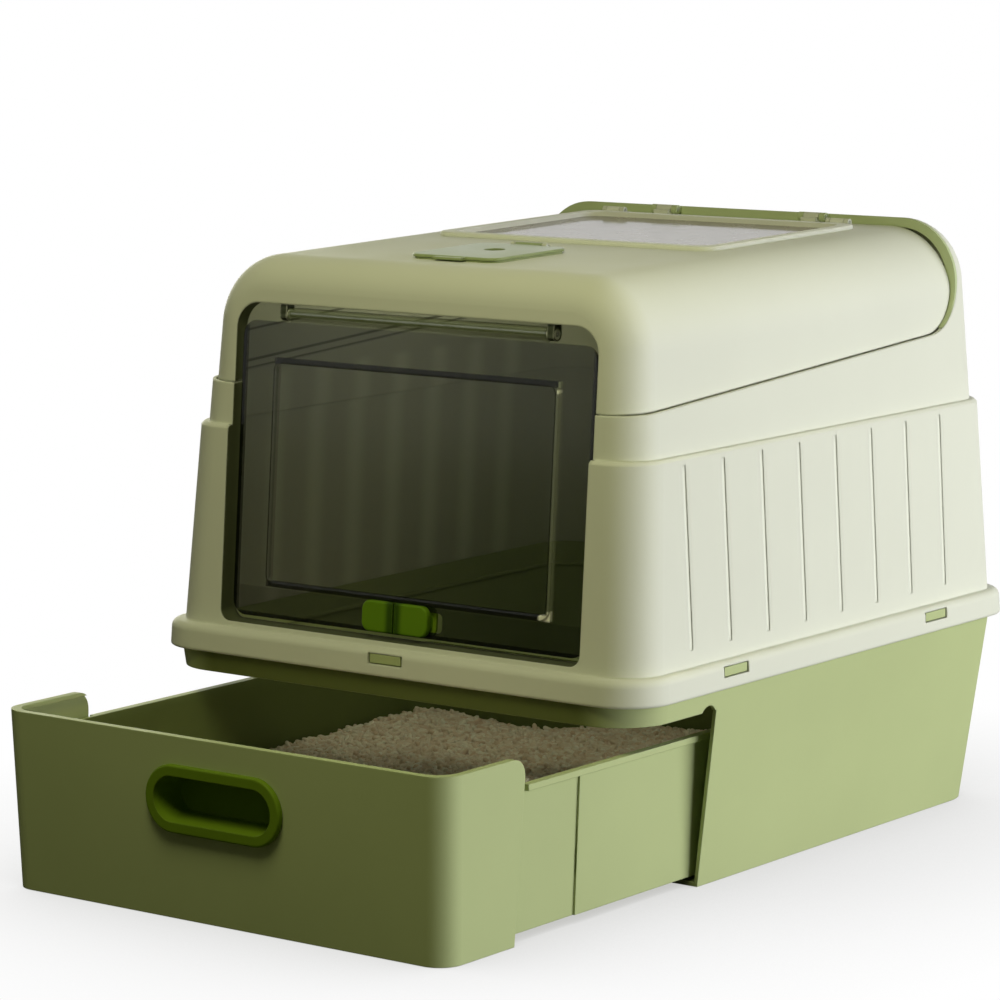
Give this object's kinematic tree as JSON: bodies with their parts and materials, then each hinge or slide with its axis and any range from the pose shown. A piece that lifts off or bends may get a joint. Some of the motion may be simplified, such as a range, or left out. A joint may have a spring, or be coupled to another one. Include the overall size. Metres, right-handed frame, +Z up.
{
  "type": "covered litter box",
  "caption": "Covered litter box with a pull-out tray drawer, a flip-up domed lid, a clear skylight, a roof scent box and a latched flap door.",
  "frame": {"origin": "on the floor, under the middle of the base", "axes": "+Z up; the door and the drawer's front face -Y; +X is to the right as seen from the front"},
  "size_m": [0.4468, 0.6993, 0.4526],
  "materials": {
    "sage_plastic": "satin moulded sage green",
    "cream_plastic": "satin moulded cream",
    "dark_green_plastic": "satin moulded dark green",
    "smoke_clear": "glossy tinted clear plastic",
    "clear_sheet": "glossy clear plastic",
    "steel_pin": "plain drawn wire",
    "charcoal_felt": "soft felt",
    "litter": "loose matt pellets"
  },
  "bodies": {
    "base": {"base_housing": "sage_plastic", "hood_body": "cream_plastic", "rear_arch_trim": "sage_plastic", "lid_hinge_pins": "steel_pin"},
    "drawer": {"drawer_tray": "sage_plastic", "drawer_front": "sage_plastic", "drawer_handle": "dark_green_plastic", "litter_bed": "litter"},
    "lid": {"dome_lid": "cream_plastic", "scent_box_cup": "sage_plastic", "charcoal_pad": "charcoal_felt", "scent_hinge_pin": "steel_pin", "skylight_hinge_pins": "steel_pin", "door_hinge_bushes": "cream_plastic", "door_hinge_rod": "steel_pin"},
    "skylight": {"skylight_frame": "cream_plastic", "skylight_sheet": "clear_sheet"},
    "scent_lid": {"scent_box_lid": "sage_plastic"},
    "door": {"door_panel": "smoke_clear"},
    "latch": {"latch_slider": "dark_green_plastic", "latch_back_plate": "dark_green_plastic"}
  },
  "joints": [
    {"name": "drawer_slide", "type": "slide", "parent": "base", "child": "drawer", "axis": [0, -1, 0], "range_m": [-0.2, 0.03]},
    {"name": "lid_hinge", "type": "hinge", "parent": "base", "child": "lid", "pos_m": [0, 0.1965, 0.449], "axis": [-1, 0, 0], "range_deg": [0, 98]},
    {"name": "skylight_hinge", "type": "hinge", "parent": "lid", "child": "skylight", "pos_m": [0, 0.17655, 0.44779], "axis": [-1, 0, 0], "range_deg": [0, 95]},
    {"name": "scent_lid_hinge", "type": "hinge", "parent": "lid", "child": "scent_lid", "pos_m": [0, -0.07901, 0.44283], "axis": [-1, 0, 0], "range_deg": [0, 105]},
    {"name": "door_hinge", "type": "hinge", "parent": "lid", "child": "door", "pos_m": [0, -0.21373, 0.3965], "axis": [1, 0, 0], "range_deg": [-80, 75]},
    {"name": "latch_slide", "type": "slide", "parent": "door", "child": "latch", "axis": [1, 0, 0], "range_m": [0, 0.0105]}
  ]
}
